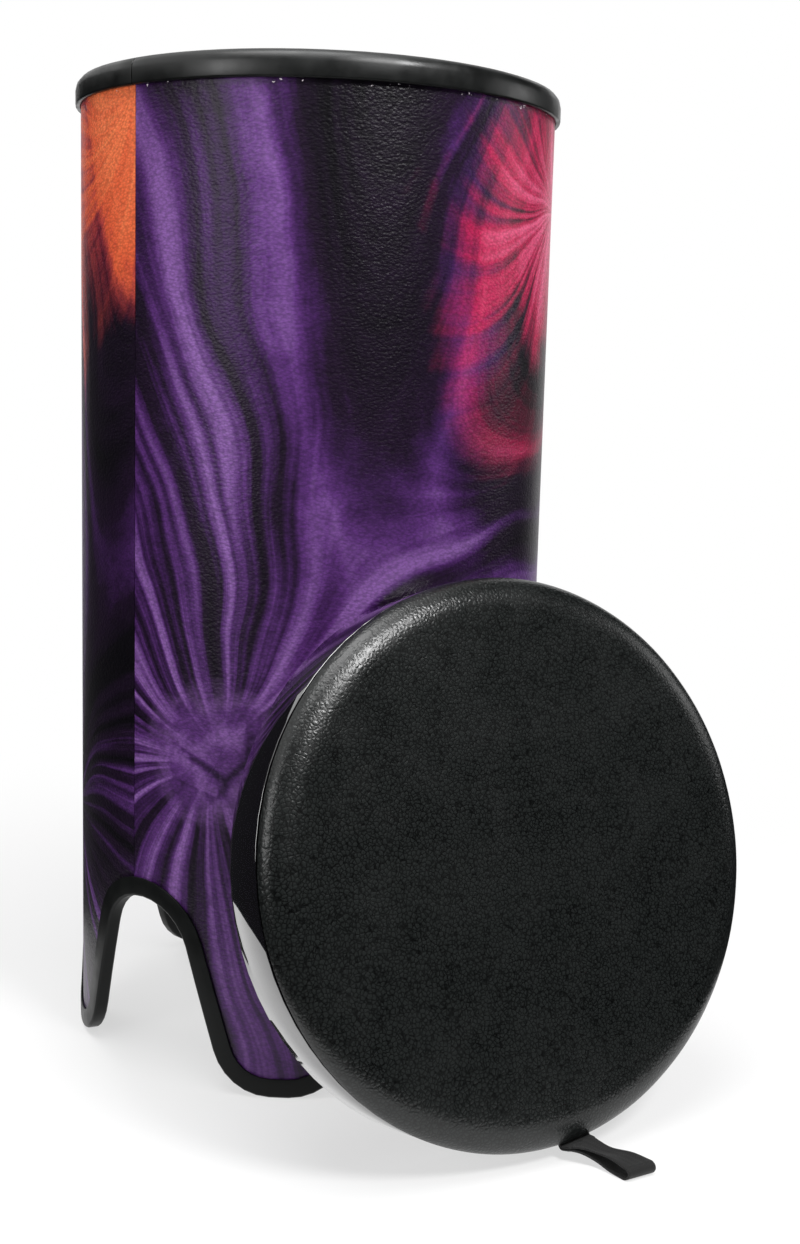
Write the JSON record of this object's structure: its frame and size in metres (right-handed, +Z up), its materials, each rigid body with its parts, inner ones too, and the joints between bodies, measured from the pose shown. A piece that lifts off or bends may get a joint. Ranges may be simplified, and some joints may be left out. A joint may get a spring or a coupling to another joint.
{
  "type": "tube drum",
  "caption": "Tall round tube drum on legs scalloped into its printed shell, with rubber rim and leg trim, and a shallow pull-off head with a webbing strap leaning at its front.",
  "frame": {"origin": "on the floor, under the middle of the whole object's bounding box", "axes": "+Z up along the shell, -Y to the front, where the leaning head faces, +X to the right"},
  "size_m": [0.3312, 0.4606, 0.608],
  "materials": {
    "tube_board": "plain dark fibre board, matte",
    "printed_sheet": "tie-dye print on a pebbled textile texture, semi-matte",
    "rubber": "satin",
    "gloss_black": "mirror gloss",
    "skin_leather": "fine pebble grain, satin",
    "bead_black": "satin",
    "hoop_ply": "plain ply, matte",
    "liner_foam": "matte foam",
    "webbing": "woven nylon, matte",
    "tack_steel": "plain"
  },
  "bodies": {
    "shell": {"shell_tube": "tube_board", "wrap_sheet": "printed_sheet", "rim_trim": "rubber", "leg_trim": "rubber"},
    "head": {"head_band": "gloss_black", "drum_skin": "skin_leather", "flesh_hoop": "hoop_ply", "edge_bead": "bead_black", "seat_ring": "hoop_ply", "grip_liner": "liner_foam", "strap_root": "webbing", "strap_tack_1": "tack_steel", "strap_tack_2": "tack_steel"},
    "strap": {"strap_loop": "webbing"}
  },
  "joints": [
    {"name": "head_lift", "type": "slide", "parent": "shell", "child": "head", "axis": [0, -0.8, 0.6], "range_m": [0, 0.45]},
    {"name": "strap_swing", "type": "hinge", "parent": "head", "child": "strap", "pos_m": [0.02376, -0.19616, 0.01047], "axis": [-0.9932, -0.0303, -0.1127], "range_deg": [0, 60]}
  ]
}
